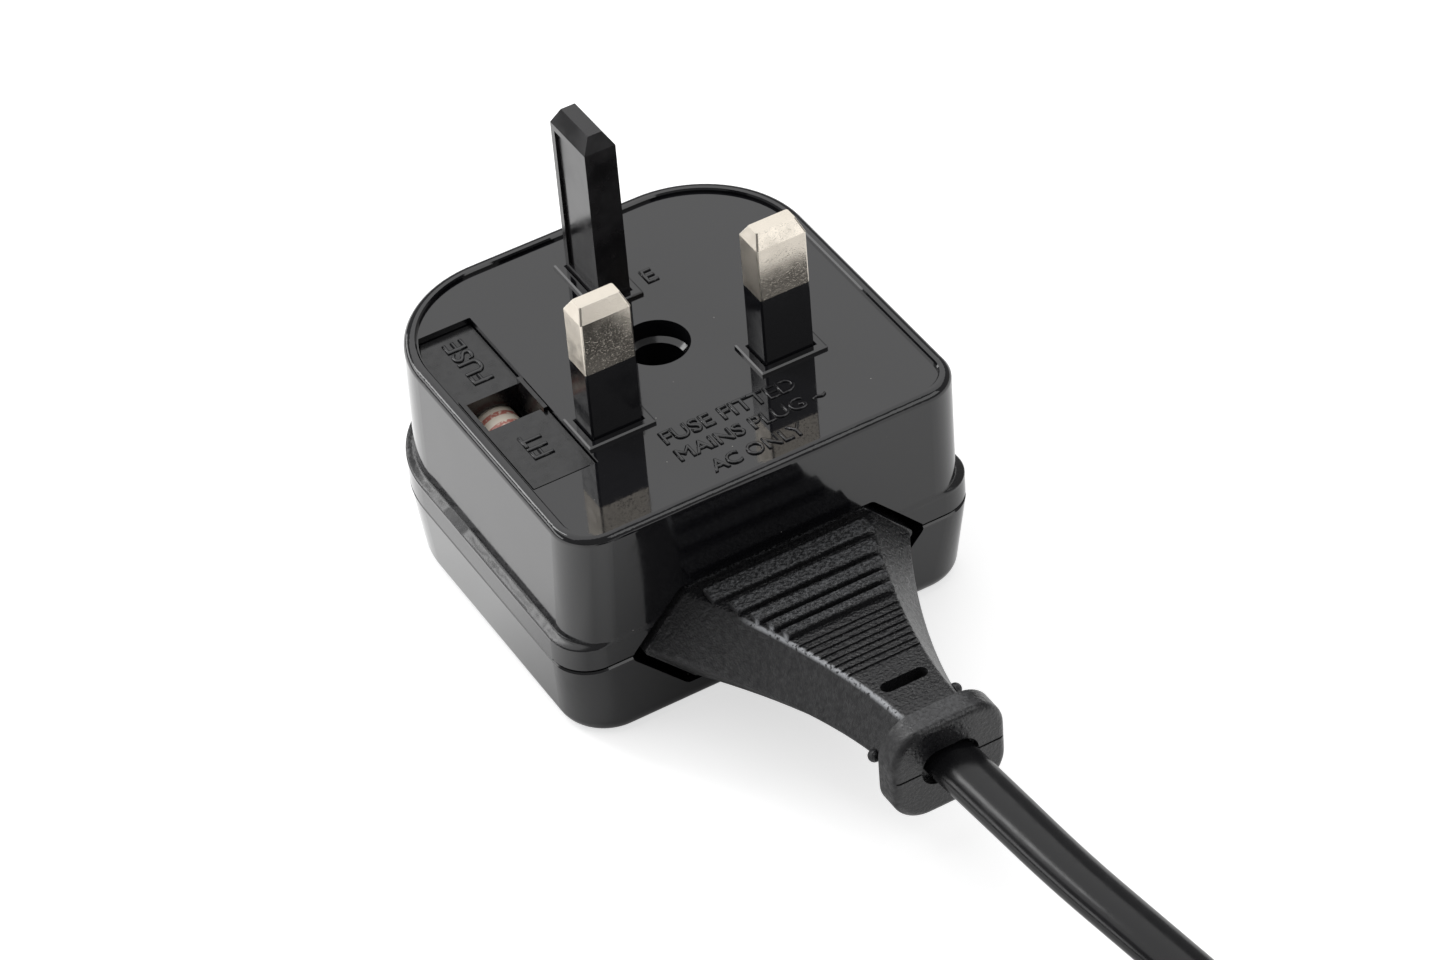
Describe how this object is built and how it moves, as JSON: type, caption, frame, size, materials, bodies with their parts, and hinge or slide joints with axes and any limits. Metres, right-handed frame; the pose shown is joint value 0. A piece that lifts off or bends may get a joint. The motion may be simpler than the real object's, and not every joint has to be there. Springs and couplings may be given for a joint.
{
  "type": "travel adapter",
  "caption": "Three-pin converter plug with a fused, flared black housing screwed shut round a moulded two-pin plug, its flat lead running out of a six-sided mouth to an appliance connector.",
  "frame": {"origin": "on the back cover's flat outer face, under the midpoint between the live and neutral pins", "axes": "+Z along the pins away from the back cover, +X from the live pin to the neutral pin, +Y towards the earth pin and away from the lead"},
  "size_m": [0.0912, 0.2099, 0.0529],
  "materials": {
    "housing": "polished moulded black",
    "plug": "fine spark-eroded texture",
    "sleeve": "satin moulded black",
    "earth": "satin moulded black",
    "plated": "satin nickel plate over brass, so its true density is near brass",
    "brass": "bright stamped strip",
    "ceramic": "glazed ceramic",
    "screw": "zinc-plated steel",
    "sheath": "smooth flexible sheath",
    "tie": "soft strap",
    "connector": "moulded flexible black"
  },
  "bodies": {
    "adapter": {"base_housing": "housing", "back_cover": "housing", "plug_body": "plug", "live_pin_sleeve": "sleeve", "neutral_pin_sleeve": "sleeve", "plug_pin_sleeves": "sleeve", "earth_pin": "earth", "live_pin": "plated", "neutral_pin": "plated", "plug_pin_live": "plated", "plug_pin_neutral": "plated", "fuse_clip": "brass", "live_contact": "brass", "neutral_contact": "brass", "connector_sockets": "brass", "closing_screw": "screw", "lead": "sheath", "lead_coil": "sheath", "coil_tie": "tie", "appliance_connector": "connector"},
    "fuse_drawer": {"fuse_carrier": "housing", "fuse_body": "ceramic", "fuse_caps": "plated"}
  },
  "joints": [
    {"name": "fuse_drawer_pull", "type": "slide", "parent": "adapter", "child": "fuse_drawer", "axis": [0, 0, 1], "range_m": [0, 0.009]}
  ]
}
